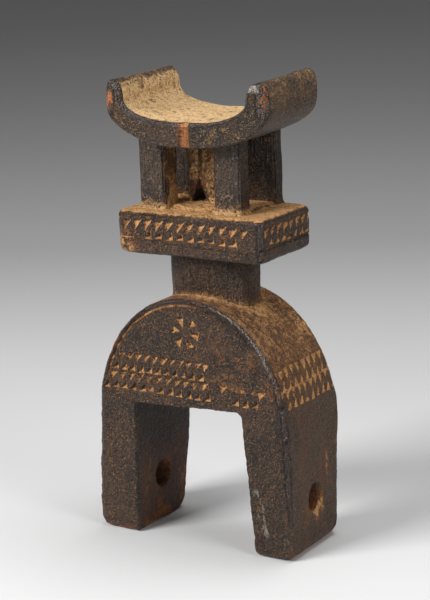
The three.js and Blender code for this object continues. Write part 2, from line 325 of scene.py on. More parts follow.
def wood(name, crust_gloss, dust_share, grain_depth, dust_colours):
    """Hand-carved tropical hardwood under an old patina. crust_gloss is the crust's roughness,
    dust_share how many specks of dust lie on it, grain_depth how much the long grain shows,
    and dust_colours the colours of thin and thick dust."""
    material = bpy.data.materials.new(name)
    material.use_nodes = True
    tree = material.node_tree
    tree.nodes.clear()

    def calculated(operation, a, b, clamp=False):
        return (add_node(tree, "ShaderNodeMath",
                         {"operation": operation, "use_clamp": clamp}, s0=a, s1=b), 0)

    def added(first, *rest):
        for term in rest:
            first = calculated("ADD", first, term)
        return first

    def times(value, factor):
        return calculated("MULTIPLY", value, factor)

    def swing(value, amount):
        """Noise moved to swing about 0, and scaled."""
        return times(calculated("SUBTRACT", value, 0.5), amount)

    def mix(factor, a, b):
        return (add_node(tree, "ShaderNodeMix", {"data_type": "RGBA"},
                         s0=factor, s6=a, s7=b), 2)

    def stepped(value, low, high):
        return (add_node(tree, "ShaderNodeMapRange", {"interpolation_type": "SMOOTHSTEP"},
                         Value=value, From_Min=low, From_Max=high), 0)

    place = (add_node(tree, "ShaderNodeTexCoord"), 3)
    fine = (noise_node(tree, place, FINE, 2.0, 0.6), 0)
    grit = (noise_node(tree, place, GRIT, 3.0, 0.6), 0)
    flake = (noise_node(tree, place, FLAKE, 4.0, 0.6), 0)
    cloud = (noise_node(tree, place, CLOUD, 3.0), 0)
    # grain runs up the block, so its noise is stretched ten times along Z
    long = (add_node(tree, "ShaderNodeMapping", Vector=place, Scale=(1, 1, 0.1)), 0)
    grain = (noise_node(tree, long, GRAIN, 3.0), 0)
    dust, wear, bare, crust, chalk = (
        (add_node(tree, "ShaderNodeAttribute", {"attribute_name": attribute}), 2)
        for attribute in ("dust", "wear", "bare", "crust", "chalk"))

    # crust over umber: thick crust is dark, and flakes of it are missing where it is thin
    cover = added(crust, swing(flake, 4.0), swing(cloud, 2.0), swing(grit, 4.0))
    colour = mix(stepped(cover, 0.2, 0.7), UMBER, CRUST)

    # specks of dust caught between the grains, everywhere a little
    speck = stepped(added(fine, times(flake, 0.5)), 0.83, 0.95)
    colour = mix(times(speck, 0.5 * dust_share), colour, dust_colours[1])

    # dust in the hollows and on top: its edge is ragged at the size of grit and of flakes
    ragged = added(swing(grit, 2.0), swing(flake, 2.2), swing(fine, 2.6))
    dusty = stepped(added(dust, times(ragged, 0.85)), 0.36, 0.70)
    thick_dust = added(times(flake, 0.5), times(grit, 0.5),
                       times(calculated("SUBTRACT", dust, 0.85), 0.6))
    colour = mix(dusty, colour, mix(stepped(thick_dust, 0.36, 0.64), *dust_colours))

    # rubbed arrises, then bare wood
    rubbed = stepped(added(wear, times(ragged, 0.25)), 0.3, 0.8)
    colour = mix(times(rubbed, 0.8), colour, RUBBED)
    open_wood = stepped(added(bare, times(ragged, 0.3)), 0.35, 0.8)
    fresh = stepped(added(bare, calculated("SUBTRACT", flake, 0.5)), 0.55, 0.95)
    colour = mix(open_wood, colour, mix(fresh, ORANGE_DEEP, ORANGE))

    # pale rubs left by another surface, and painted highlights and sheen
    colour = mix(stepped(added(chalk, times(ragged, 0.22)), 0.12, 1.0), colour, CHALK_AND_HIGHLIGHT)

    # pits between the grains stay dark, less so where dust fills them
    pit = stepped(added(fine, times(grit, 0.6)), 0.76, 0.64)
    pit = times(pit, calculated("SUBTRACT", 0.9, times(dusty, 0.62)))
    colour = mix(pit, colour, PIT)

    gloss = added(crust_gloss, times(dusty, 0.3), swing(grit, 0.3))
    gloss = calculated("SUBTRACT", gloss, times(rubbed, 0.28), clamp=True)

    # bump: flakes and grit, less on rubbed wood; grain where the piece shows it
    height = added(times(flake, 1.0), times(grit, 0.6), times(fine, 0.25))
    height = times(height, calculated("SUBTRACT", 1.0, times(rubbed, 0.75)))
    height = added(height, times(grain, grain_depth))
    bump = (add_node(tree, "ShaderNodeBump", Height=height, Strength=1.0,
                     Distance=RELIEF * MM), 0)
    shader = add_node(tree, "ShaderNodeBsdfPrincipled", Base_Color=colour, Roughness=gloss,
                      Normal=bump, IOR=1.5)
    add_node(tree, "ShaderNodeOutputMaterial", Surface=(shader, 0))
    return material


crusted_wood = wood("hardwood_crusted", 0.5, 1.0, 0.3, DUST_OCHRE)
handled_wood = wood("hardwood_handled", 0.48, 0.4, 0.8, DUST_TAN)
dusted_wood = wood("hardwood_dusted", 0.48, 1.0, 0.3, DUST_PALE)
print("materials:", [m.name for m in bpy.data.materials])

# %% [markdown]
# ## Chip carving
# A chip is a small triangular pocket made with three cuts of a knife. Rows of chips with their
# points up, then down, leave a slanted ridge between each pair, a zigzag band. A pocket is
# worked out as the depth below its three edges: the distance to the nearest edge times a slope,
# up to a floor. Chips of a row differ a little, as a hand's do, and some are worn away.

# %% Chips


def triangle_depth(u, v, corners):
    """How far each point (u, v) is inside a triangle: the smallest distance to its three edges,
    negative outside. Corners run anticlockwise."""
    inside = np.full(u.shape, 1e9)
    for (u0, v0), (u1, v1) in zip(corners, corners[1:] + corners[:1]):
        length = math.hypot(u1 - u0, v1 - v0)
        inside = np.minimum(inside, ((u1 - u0) * (v - v0) - (v1 - v0) * (u - u0)) / length)
    return inside


CHIP_SLOPE, CHIP_FLOOR = 1.35, 1.0      # depth per mm from an edge, and the depth at most, mm
HANGING = [(-0.5, 0.5), (-0.36, -0.5), (0.5, 0.5)]      # wide at the top, point down
STANDING = [(-0.5, -0.5), (0.5, -0.5), (0.38, 0.5)]     # wide at the bottom, point up


def chip_row(u, v, first, pitch, count, level, shape, size=(3.6, 3.7), keep=None, seed=0):
    """Depth cut by a row of chips: each point belongs to the nearest chip along u, and each
    chip's place, size and depth vary a little by its number. keep(number) says how much of a
    chip has survived wear."""
    number = np.clip(np.round((u - first) / pitch), 0, count - 1).astype(np.int64)
    vary = [scrambled(number, number * 0 + n, number * 0, seed) - 0.5 for n in range(4)]
    centre_u = first + number * pitch + 0.5 * vary[0]
    centre_v = level + 0.4 * vary[1]
    width, height = size[0] * (1 + 0.2 * vary[2]), size[1] * (1 + 0.2 * vary[3])
    local = triangle_depth((u - centre_u) / width, (v - centre_v) / height, shape) * min(size)
    depth = np.clip(local * CHIP_SLOPE + 0.1, 0, CHIP_FLOOR)
    return depth * (keep(number) if keep is not None else 1)


def groove(distance, width, depth):
    """A round-bottomed incised line: full depth on the line, none at half its width away."""
    return depth * np.clip(1 - (2 * distance / width) ** 2, 0, 1)


print("a chip is flat from", round(CHIP_FLOOR / CHIP_SLOPE, 2), "mm inside its edges")

# %% [markdown]
# ## The yoke
# The arch and its legs are one form: a slab's section, travelling from the left sole up the
# leg, over the crown and down to the right sole. The inner end of the section follows the notch
# and its outer end follows the outline, so the front face is ruled like a fan. The ring grid is
# made once, weathered as a whole and then parted at the two levels where the CAD parts it, so
# the three pieces meet exactly.

# %% Yoke outline
left_leg_low, left_leg_high = box_mm("left_leg")
right_leg_low, right_leg_high = box_mm("right_leg")
_, arch_high = box_mm("arch")
neck_low, neck_high = box_mm("neck")

ARCH_X, ARCH_HALF, SPRING, FULLNESS = 1.5, 42.8, 46.2, 2.1
CROWN = arch_high[2]
YOKE_Y = (right_leg_low[1] + right_leg_high[1]) / 2
SOLE_OUT = (left_leg_low[0], right_leg_high[0])
NOTCH_SOLE = (-25.9, 27.5)
NOTCH_TOP = (left_leg_high[0], 24.7)
NOTCH_HEIGHT = (left_leg_high[2], 57.0)
NOTCH_CORNER = 3.0      # the radius of the notch's upper right corner
PARTING = (left_leg_high[2], right_leg_high[2])


def outer_x(z, side):
    """The outline's X at a height: a straight leg, then the arch's superellipse."""
    rise = np.clip((z - SPRING) / (CROWN - SPRING), 0, 1)
    arch = ARCH_X + side * ARCH_HALF * (1 - rise ** FULLNESS) ** (1 / FULLNESS)
    sole = SOLE_OUT[0] if side < 0 else SOLE_OUT[1]
    spring = ARCH_X + side * ARCH_HALF
    leg = sole + (spring - sole) * np.clip(z / SPRING, 0, 1)
    return np.where(z > SPRING, arch, leg)


def outline_height(x):
    """The arch's top at an X: the same superellipse, read the other way."""
    across = np.clip(np.abs(x - ARCH_X) / ARCH_HALF, 0, 1)
    return SPRING + (CROWN - SPRING) * (1 - across ** FULLNESS) ** (1 / FULLNESS)


def inner_x(z, side):
    """The notch's side at a height: a straight line from the sole to the notch's top."""
    i = 0 if side < 0 else 1
    return NOTCH_SOLE[i] + (NOTCH_TOP[i] - NOTCH_SOLE[i]) * z / NOTCH_HEIGHT[i]


def resampled(path, count, ease_ends=0.0):
    """A path of points as count points, even in length, or crowded towards both ends."""
    steps = np.concatenate([[0], np.cumsum(np.linalg.norm(np.diff(path, axis=0), axis=1))])
    t = np.linspace(0, 1, count)
    t = t - ease_ends * np.sin(2 * np.pi * t) / (2 * np.pi)
    return np.stack([np.interp(t * steps[-1], steps, path[:, i]) for i in (0, 1)], axis=1)


LEG_STATIONS, ARCH_STATIONS = 132, 330
first_steps = [0.0, 0.25, 0.6, 1.0, 1.5]   # mm, close together where the sole is rounded
left_z = np.concatenate([first_steps, np.linspace(2.1, PARTING[0], LEG_STATIONS - 5)])
right_z = left_z * PARTING[1] / PARTING[0]
angles = np.linspace(np.pi, 0, 721)
dome = np.stack([ARCH_X + ARCH_HALF * np.sign(np.cos(angles)) * np.abs(np.cos(angles))
                 ** (2 / FULLNESS),
                 SPRING + (CROWN - SPRING) * np.sin(angles).clip(0) ** (2 / FULLNESS)], axis=1)
dome_left = dome[(dome[:, 0] < ARCH_X) & (dome[:, 1] > PARTING[0])]
dome_right = dome[(dome[:, 0] >= ARCH_X) & (dome[:, 1] > PARTING[1])]
outer_path = np.concatenate([[[outer_x(PARTING[0], -1), PARTING[0]]], dome_left, dome_right,
                             [[outer_x(PARTING[1], 1), PARTING[1]]]])
corner = np.linspace(np.pi / 2, 0, 9)
corner_middle = np.array([inner_x(PARTING[1], 1), NOTCH_HEIGHT[1]]) - NOTCH_CORNER
inner_path = np.concatenate([
    [[NOTCH_TOP[0], PARTING[0]]],
    corner_middle + NOTCH_CORNER * np.stack([np.cos(corner), np.sin(corner)], axis=1)])
arch_outer = resampled(outer_path, ARCH_STATIONS)
arch_inner = resampled(inner_path, ARCH_STATIONS, 0.85)



def whole_line(leg_x, over_the_arch):
    """One end of the section all the way: up the left leg, over the arch, down the right."""
    return np.concatenate([np.stack([leg_x(left_z, -1), left_z], axis=1), over_the_arch[1:-1],
                           np.stack([leg_x(right_z, 1), right_z], axis=1)[::-1]])


outer_line, inner_line = whole_line(outer_x, arch_outer), whole_line(inner_x, arch_inner)
print("yoke path:", len(outer_line), "stations, crown at", round(CROWN, 1), "mm")

# %% [markdown]
# The section is a rectangle with a radius of its own at each corner. It is described from its
# edges inwards: how far each point lies in from the inner or outer end, and how far from the
# front or the back face. The front and back faces lean as the block's side view does.

# %% Yoke section
FRONT_POINTS, SIDE_POINTS, BACK_POINTS, CHEEK_POINTS, CORNER_POINTS = 146, 74, 34, 14, 6


def front_y(z):
    """The front face's Y: the block is deepest at the notch, and the crown leans forward."""
    return YOKE_Y - np.interp(z, [0, 55.8, CROWN], [18.5, 20.8, 20.0])


def back_y(z):
    """The back face's Y at a height."""
    return YOKE_Y + np.interp(z, [0, 55.8, CROWN], [18.5, 20.8, 18.4])


def quarter(count):
    """Angles of a quarter turn without its two ends."""
    return np.linspace(0, np.pi / 2, count + 2)[1:-1]


def joined(parts):
    """Parts of a section, each a few arrays or numbers, as one array for each quantity."""
    parts = [np.broadcast_arrays(*part) for part in parts]
    return [np.concatenate(quantity, axis=1) for quantity in zip(*parts)]


def yoke_rings(outer_line, inner_line, radii):
    """The grid of section points: stations x round. Each point is a distance s from the inner
    end along the ray to the outer end, a share of the way from the front face to the back one,
    and an inset in Y from there."""
    outer_front, outer_back, inner_front, inner_back = (r[:, None] for r in radii)
    ray = outer_line - inner_line
    width = np.linalg.norm(ray, axis=1)[:, None]
    turn = quarter(CORNER_POINTS)[None, :]
    start, end = 1 - np.sin(turn), 1 - np.cos(turn)
    front, side, back, cheek = (np.linspace(0, 1, count)[None, :] for count in (
        FRONT_POINTS, SIDE_POINTS, BACK_POINTS, CHEEK_POINTS))
    s, inset, across = joined([
        (inner_front + front * (width - inner_front - outer_front), 0.0, 0.0),
        (width - outer_front * start, outer_front * end, 0.0),
        (width, outer_front * (1 - side) - outer_back * side, side),
        (width - outer_back * end, -outer_back * start, 1.0),
        (inner_back + back[:, ::-1] * (width - inner_back - outer_back), 0.0, 1.0),
        (inner_back * start, -inner_back * end, 1.0),
        (0.0, inner_front * (1 - cheek[:, ::-1]) - inner_back * cheek[:, ::-1], cheek[:, ::-1]),
        (inner_front * end, inner_front * start, 0.0)])
    flat = inner_line[:, None, :] + (ray / width)[:, None, :] * s[:, :, None]
    z = flat[:, :, 1]
    y = front_y(z) * (1 - across) + back_y(z) * across + inset
    return np.stack([flat[:, :, 0], y, z], axis=2)


station_z = (outer_line[:, 1] + inner_line[:, 1]) / 2
more_by_the_sole = ease(14, 0, station_z)
radii = [radius + growth * more_by_the_sole for radius, growth in (
    (2.0, 0.4), (2.6, 0.6), (1.0, 0.3), (1.0, 0.4))]
base_rings = yoke_rings(outer_line, inner_line, radii)
print("section:", base_rings.shape[1], "points round")


def rounded_sole(rings):
    """The soles' edges pulled in over the last millimetres: each side of the section moves
    towards the leg's middle by what a quarter circle of its radius lacks at that height."""
    x, y, z = parts_of(rings)

    def lack(radius):
        above = radius - np.minimum(z, radius)
        return radius - np.sqrt(np.clip(radius ** 2 - above ** 2, 0, None))

    for side in (-1, 1):
        on = (np.sign(x) == side) & (z < 12)
        share = np.clip((x - inner_x(z, side)) / (outer_x(z, side) - inner_x(z, side)), 0, 1)
        x = np.where(on, x - side * lack(4.6) * share + side * lack(2.0) * (1 - share), x)
        back = np.clip((y - front_y(z)) / (back_y(z) - front_y(z)), 0, 1)
        y = np.where(on, y - lack(7.0) * back + lack(2.2) * (1 - back), y)
    # the left leg's back edge is worn away towards its sole
    worn = 3.0 * ease(42, 0, z) * (x < 0)
    y = y - worn * np.clip((y - front_y(z)) / (back_y(z) - front_y(z)), 0, 1)
    return np.stack([x, y, z], axis=2)


yoke = rounded_sole(base_rings)
print("yoke grid", yoke.shape[:2], "mm box", np.round(yoke.min((0, 1)), 1),
      np.round(yoke.max((0, 1)), 1))

# %% [markdown]
# The chip bands: two bands of two rows run across the front at the foot of the arch and go
# round the sides. A rosette of six chips sits above them, and an incised line follows the
# arch's edge. On the right of the front the upper band is worn to a scar.

# %% Yoke carving
ROWS = [  # level, first chip, pitch, number of chips, shape, and the number of its variation
    (73.0, -28.8, 3.87, 16, HANGING, 11),
    (69.3, -32.7, 3.93, 18, STANDING, 12),
    (65.0, -33.0, 4.2, 17, HANGING, 13),
    (61.6, -37.2, 4.25, 18, STANDING, 14),
]
SCAR_FROM = 8.0    # mm along X, where the upper rows begin to be worn
ROSETTE = (0.5, 85.7)
ROSETTE_TURNS = [112, 50, -8, -68, -127, 172]           # degrees, one for each chip
PETAL = [(1.5, 0.0), (6.2, -2.2), (6.4, 2.0)]           # along and aside, mm from the middle
PETAL_FLOOR = 0.95


def edge_distance(x, z):
    """Distance inside the arch's outline, near enough: the height below it times the cosine
    of its slope, or the distance from the leg's side."""
    across = np.abs(x - ARCH_X) / ARCH_HALF
    rise = (z - SPRING) / (CROWN - SPRING)
    level = (across ** FULLNESS + np.clip(rise, 0, None) ** FULLNESS) ** (1 / FULLNESS)
    slope = np.hypot(across ** (FULLNESS - 1) / ARCH_HALF,
                     np.clip(rise, 0, None) ** (FULLNESS - 1) / (CROWN - SPRING))
    return (1 - level) * level ** (FULLNESS - 1) / np.maximum(slope, 1e-6)


def front_carving(x, z):
    """Depth of every cut in the front face but the rim line. Few chips of the upper band and
    most of the lower one's survive the wear on the right."""
    gone = ease(SCAR_FROM, SCAR_FROM + 5, x)
    cut = np.zeros_like(x)
    for row, (level, first, pitch, count, shape, seed) in enumerate(ROWS):
        in_upper_band = row < 2
        limit, lucky, unlucky = (0.55, 0.55, 0.1) if in_upper_band else (0.45, 0.9, 0.15)

        def survives(number):
            luck = scrambled(number, number * 0, number * 0 + 5, seed)
            worn = ease(SCAR_FROM - 2, SCAR_FROM + 4, first + number * pitch)
            return ((1 - worn) * np.where(luck > 0.08, 1, 0.35)
                    + worn * np.where(luck > limit, lucky, unlucky))

        cut = np.maximum(cut, chip_row(x, z, first, pitch, count, level, shape,
                                       keep=survives, seed=seed))
        if in_upper_band:
            cut = cut * (1 - 0.9 * gone)
    cut = cut * ease(1.2, 2.6, edge_distance(x, z))
    for turn in np.radians(ROSETTE_TURNS):
        c, s = math.cos(turn), math.sin(turn)
        along = (x - ROSETTE[0]) * c + (z - ROSETTE[1]) * s
        aside = -(x - ROSETTE[0]) * s + (z - ROSETTE[1]) * c
        cut = np.maximum(cut, np.clip(
            triangle_depth(along, aside, PETAL) * CHIP_SLOPE, 0, PETAL_FLOOR))
    return cut


RIM_INSET, RIM_WIDTH, RIM_DEPTH = 2.5, 1.4, 0.8


def rim_line(x, z):
    """The incised line inside the arch's edge, from the left spring over the crown to where the
    right side is worn."""
    reach = ease(60, 68, z) * (1 - ease(24, 33, x))
    return groove(np.abs(edge_distance(x, z) - RIM_INSET), RIM_WIDTH, RIM_DEPTH) * reach


SIDE_ROWS = [  # the same for the sides
    (72.2, -20.2, 4.3, 10, HANGING, 21),
    (68.3, -17.0, 4.25, 9, STANDING, 22),
    (65.0, -19.2, 4.2, 10, HANGING, 23),
    (61.4, -16.4, 4.25, 9, STANDING, 24),
]


def side_carving(y, z, seed):
    """Depth of the two chip bands on a side of the arch, with taller chips."""
    cut = np.zeros_like(y)
    for level, first, pitch, count, shape, number in SIDE_ROWS:
        cut = np.maximum(cut, chip_row(y, z, first, pitch, count, level, shape,
                                       size=(3.5, 4.3), seed=number + seed))
    return 0.85 * cut * ease(1.5, 3.0, y - front_y(z)) * ease(1.0, 2.5, back_y(z) - y)


def from_edge(x, z):
    """How far a point is inside the outline of the yoke, arch and legs."""
    return np.where(z > SPRING, edge_distance(x, z),
                    np.minimum(x - outer_x(z, -1), outer_x(z, 1) - x))


def yoke_faces(points):
    """How much each point belongs to the front, the back, the left and the right face: 1 on the
    face and 0 a millimetre or so behind it."""
    x, y, z = parts_of(points)
    front = ease(1.6, 0.9, y - front_y(z))
    back = ease(1.6, 0.9, back_y(z) - y)
    side = ease(1.5, 0.8, from_edge(x, z))
    return front, back, side * (x < ARCH_X), side * (x >= ARCH_X)


def yoke_cut(points):
    """Depth of all carving at points of the yoke, face by face."""
    x, y, z = parts_of(points)
    front, back, left, right = yoke_faces(points)
    on_front = front_carving(x, z) + rim_line(x, z)
    on_back = front_carving(-x, z) * 0.8 * ease(79, 76, z)
    return (front * on_front + back * on_back
            + (1 - front) * (1 - back) * (left * side_carving(y, z, 40)
                                          + right * side_carving(y, z, 0)))


print("chips in the front rows:", [row[3] for row in ROWS])

# %% [markdown]
# Weather now moves each point of the grid along its normal: a slow swell, a crust that is
# thickest on the front, crumbs broken out of the front right arris, pits in the scar, and last
# the cuts. The soles keep still, so that the block stands flat.

# %% Weather the yoke


def crumbling_arris(points):
    """How much each point lies on the front right arris where it has crumbled."""
    x, y, z = parts_of(points)
    return (ease(4.0, 1.5, np.hypot(y - front_y(z), outer_x(z, 1) - x))
            * ease(22, 40, z) * ease(76, 66, z))


def moved(rings, height):
    """Every point of a ring grid moved outwards by its height in millimetres."""
    return rings + ring_normals(rings) * height[..., None]


x, y, z = parts_of(yoke)
front = yoke_faces(yoke)[0]
scar = front * ease(8, 16, x) * ease(62, 66, z) * ease(88, 80, z)
swell = 0.45 * noise(yoke, 26.0, 1) + 0.22 * noise(yoke, 9.0, 2)
crusting = (0.30 * rough(yoke, 2.4, 3, 2) + 0.13 * noise(yoke, 0.9, 7)) * (0.45 + 0.55 * front)
crumbs = crumbling_arris(yoke) * (0.45 * np.abs(noise(yoke, 1.3, 9))
                                  - 0.7 * ease(0.1, 0.6, noise(yoke, 2.1, 10)))
pits = 0.5 * scar * ease(0.0, 0.5, rough(yoke, 4.5, 8, 3))
height = swell * ease(3.0, 7.0, z) + crusting + crumbs - pits - yoke_cut(yoke)
yoke = moved(yoke, height)
yoke[..., 2] = np.maximum(yoke[..., 2], 0.0)
print("the surface moved by", round(height.min(), 2), "to", round(height.max(), 2), "mm")

# %% [markdown]
# The grid is cut into the two legs and the arch where the CAD parts them. Each leg's axle bore
# is then taken out with a closed cutter, an oval tube that flares at its mouths, because the
# edges of both bores were worn round by the axle.

# %% Part the yoke and drill the legs
split = (len(left_z) - 1, len(outer_line) - len(right_z))
left_leg = solid_from_rings("left_leg_carved", yoke[:split[0] + 1])
arch = solid_from_rings("arch_carved", yoke[split[0]:split[1] + 1])
right_leg = solid_from_rings("right_leg_carved", yoke[split[1]:])


MOUTH_WEAR = 0.9    # mm, how far the edge of a bore's mouth is rounded


def axle_bore(name, side, y, z, inner_size, outer_size):
    """A worn bore: a tube along X whose oval section grows from the inner mouth to the outer
    one, and flares where each mouth's edge is rounded."""
    inside, outside = inner_x(z, side), outer_x(z, side)
    x = np.linspace(inside - side * 6, outside + side * 6, 70)
    depth = (x - inside) / (outside - inside)
    mouth = np.minimum(np.abs(x - inside), np.abs(x - outside))
    worn = MOUTH_WEAR * (np.exp(-(mouth / MOUTH_WEAR) ** 2) + ((depth < 0) | (depth > 1)))
    turn = np.linspace(0, 2 * np.pi, 96, endpoint=False)[None, :]
    share = depth.clip(0, 1)[:, None]
    size = np.array(inner_size) * (1 - share) + np.array(outer_size) * share + worn[:, None]
    ring = np.stack([np.broadcast_to(x[:, None], (len(x), turn.size)),
                     y + size[:, :1] * np.cos(turn), z + size[:, 1:] * np.sin(turn)], axis=2)
    ring[..., 1:] += 0.15 * noise(ring, 2.2, 31)[..., None]
    return solid_from_rings(name, ring)


left_leg = drilled(left_leg, axle_bore("left_cutter", -1, -2.2, 19.6, (4.6, 5.0), (4.4, 4.8)))
right_leg = drilled(right_leg, axle_bore("right_cutter", 1, -1.6, 20.4, (4.6, 4.9), (4.3, 5.5)))

# %% [markdown]
# Where the states of the wood lie on the yoke: dust in every cut and over the shoulder, wear
# along the arrises, orange wood in the rim line's edge and scattered through the scar, and a
# thick crust on the front. Painted light and shade lie among them: paler dust on the chip walls
# that face the key light, darker chip walls in shade, darker crust up the inner cheeks under the
# arch, and a painted highlight along the front arris on the right.

# %% Paint the yoke
BORE_Y, BORE_Z = -1.9, 20       # mm, the middle of both bores, nearly
NECK_SPOT = (2, 17.6, 12.4)     # mm, the neck's X and its half width and half depth


def paint_yoke(piece):
    """Dust, wear, bare wood, crust and chalk, with painted light and shade, at a yoke piece's
    points.
    """
    p, n = points_of(piece)
    x, y, z = parts_of(p)
    front, back, left, right = yoke_faces(p)
    between = (1 - front) * (1 - back)
    behind_front = y - front_y(z)
    rim = from_edge(x, z)
    shoulder = between * ease(62, 84, z) * ease(0.0, 0.5, n[:, 2])
    side_low = right * ease(62, 50, z)
    cheek = between * (1 - left) * (1 - right) * (z < 58)
    crumbs = crumbling_arris(p)

    # painted light and shade: chip walls facing the key light get pale dust, those under the upper
    # edge go dark
    rim_cut = front * rim_line(x, z)
    in_chip = ease(0.02, 0.3, yoke_cut(p) - rim_cut)
    facing_key_light = 0.85 * n[:, 2] - 0.5 * n[:, 0] * (1 - right)
    chips = in_chip * (0.4 + 0.6 * ease(-0.65, -0.2, facing_key_light))
    shaded_chip_wall = in_chip * (1 - chips)

    # round the bores: dust in the mouth, on a strip under it and in streaks further down
    from_bore = np.hypot(y - BORE_Y, z - BORE_Z)
    bore = ease(7.5, 5.5, from_bore) * (z < 30)
    strip = (ease(3.2, 1.0, np.abs(y - BORE_Y)) * ease(-9.5, -6.5, z - BORE_Z)
             * ease(-4, -6, z - BORE_Z))
    below_bore = (ease(9.5, 5.5, from_bore) * ease(21, 17, z) * (1 - front)
                  * ease(-0.3, 0.5, rough(p * [1, 1, 0.45], 2.6, 59)))

    neck_x, neck_width, neck_depth = NECK_SPOT
    from_neck = np.hypot((x - neck_x) / neck_width, y / neck_depth) * neck_depth - neck_depth
    streak = ease(-0.1, 0.6, rough(p * [1, 1, 0.25], 4.0, 50))
    fleck = (front * ease(5, 14, x) * ease(62, 66, z) * ease(90, 80, z)
             * ease(-0.1, 0.2, rough(p * [0.7, 1, 1.3], 1.5, 53))
             * ease(-0.5, 0.2, noise(p, 7.0, 58)))
    dust = (0.05 + 0.84 * chips + rim_cut * ease(14, 0, x)
            + shoulder * (0.68 + 0.2 * rough(p, 4.0, 51) + 0.25 * ease(5, 1, from_neck))
            + 0.68 * side_low * streak + 0.36 * right * ease(56, 70, z) * (1 - shoulder)
            + 0.25 * bore * (n[:, 2] > 0.2) + 0.3 * (left + right + front) * strip
            + 0.5 * below_bore)
    # painted shade: less dust on the shaded chip walls and up the inner cheeks towards the arch
    dust = (dust * (1 - 0.6 * shaded_chip_wall) + 0.55 * fleck) * (1 - 0.8 * cheek * ease(20, 35, z))

    inner = np.minimum(np.abs(x - inner_x(z, -1)), np.abs(x - inner_x(z, 1))) + 100 * (z > 56)
    wear = (ease(2.6, 0.6, rim) * ease(2.8, 0.9, behind_front) * ease(0, 30, z)
            + 0.5 * ease(1.4, 0.2, inner) * ease(1.6, 0.4, behind_front)
            + 0.5 * (left + right) * ease(8, 0, z)
            + 0.5 * crumbs * ease(0, 0.4, noise(p, 1.4, 60)))

    cheek_patches = ease(38, 16, z) * ease(-0.5, 0.5, rough(p * [1, 1, 0.4], 6.0, 56))
    bare = (0.42 * ease(0.25, 0.5, rim_cut) * ease(-0.4, 0.3, noise(p, 5.0, 52))
            + 0.5 * fleck
            + 0.9 * left * ease(68, 71, z) * ease(84, 80, z) * ease(4, 2, behind_front)
            + 0.8 * ease(7, 0, z) * ease(-0.3, 0.4, rough(p, 5.0, 54))
            + 0.42 * side_low * ease(0.25, 0.6, rough(p * [1, 1, 0.5], 4.0, 55))
            + cheek * (0.46 + 0.34 * cheek_patches) + 0.3 * right * ease(64, 54, z))

    # painted shade: more crust on the shaded chip walls, and the inner cheeks go from light low
    # down to dark under the arch
    crust = (0.66 * front + 0.5 * back + 0.30 * between - 0.2 * shoulder - 0.2 * right
             - 0.25 * front * ease(14, 2, np.abs(x - 8)) * ease(58, 66, z)
             + 0.35 * bore * (1 - front) * (1 - left) * (1 - right) + 0.4 * crumbs
             + 0.3 * shaded_chip_wall + cheek * (-0.6 + 1.6 * ease(20, 46, z)))

    # painted highlight: a pale band on the rounded front arris, from the crown down the right
    painted_arris_highlight = ease(0.2, 0.7, rim) * ease(2.0, 1.2, rim) * ease(1.8, 0.9, behind_front)
    scuff = (ease(2.8, 0.8, np.abs(x - 29.8 - 0.19 * (26 - z))) * ease(13, 6, np.abs(z - 18))
             * ease(-0.15, 0.35, rough(p * [1.6, 1, 0.6], 2.0, 57)) * front)
    chalk = 0.42 * painted_arris_highlight * ease(2, 16, x) * ease(66, 78, z) + 0.9 * scuff
    paint(piece, dust=dust, wear=wear, bare=bare, crust=crust, chalk=chalk)


for piece, node in ((left_leg, "left_leg"), (arch, "arch"), (right_leg, "right_leg")):
    paint_yoke(piece)
    finished(piece, [node], crusted_wood)

# %% [markdown]
# ## The neck
# A stem of oval section, carved smooth and darkened by hands. Its foot sits over the arch's
# crown and spreads into it in a small dusty fillet, so each ring is an oval at a height
# measured up from the arch's curve, grown a little near both ends.

# %% Neck
NECK_FULLNESS = 2.5
neck_middle = (neck_low + neck_high) / 2
neck_half = (neck_high - neck_low) / 2
NECK_SUNK = 0.7     # mm, the foot starts this far inside the arch


def oval(count, half_x, half_y, fullness):
    """A superellipse |x/a|^n + |y/b|^n = 1 as count points round."""
    turn = (np.arange(count) + 0.5) * 2 * np.pi / count
    c, s = np.cos(turn), np.sin(turn)
    return np.stack([half_x * np.sign(c) * np.abs(c) ** (2 / fullness),
                     half_y * np.sign(s) * np.abs(s) ** (2 / fullness)], axis=1)


def flare(height, reach, spread):
    """How far a foot spreads at a height above its ground: a quarter hollow of that reach."""
    t = np.clip(1 - height / reach, 0, 1)
    return spread * (1 - np.sqrt(1 - t ** 2))


neck_outline = oval(240, neck_half[0], neck_half[1], NECK_FULLNESS)
outward = neck_outline / np.linalg.norm(neck_outline, axis=1)[:, None]
foot = outline_height(neck_middle[0] + neck_outline[:, 0]) - NECK_SUNK
levels = np.concatenate([np.linspace(0, 0.25, 14), np.linspace(0.25, 1, 30)[1:]])[:, None]
neck_z = foot[None, :] + levels * (neck_high[2] + 0.4 - foot)[None, :]
spread = (flare(neck_z - foot[None, :] - NECK_SUNK, 2.4, 0.6)
          + flare(neck_high[2] - neck_z, 1.5, 0.5))
neck_ring = np.stack([
    neck_middle[0] + neck_outline[None, :, 0] + spread * outward[None, :, 0],
    neck_middle[1] + neck_outline[None, :, 1] + spread * outward[None, :, 1], neck_z], axis=2)
neck_ring = moved(neck_ring, 0.35 * noise(neck_ring, 12.0, 61)
                  + 0.10 * noise(neck_ring * [1, 1, 0.2], 1.6, 62)
                  + 0.05 * noise(neck_ring, 1.0, 63))
neck = solid_from_rings("neck_carved", neck_ring)
p, n = points_of(neck)
above = p[:, 2] - outline_height(p[:, 0])
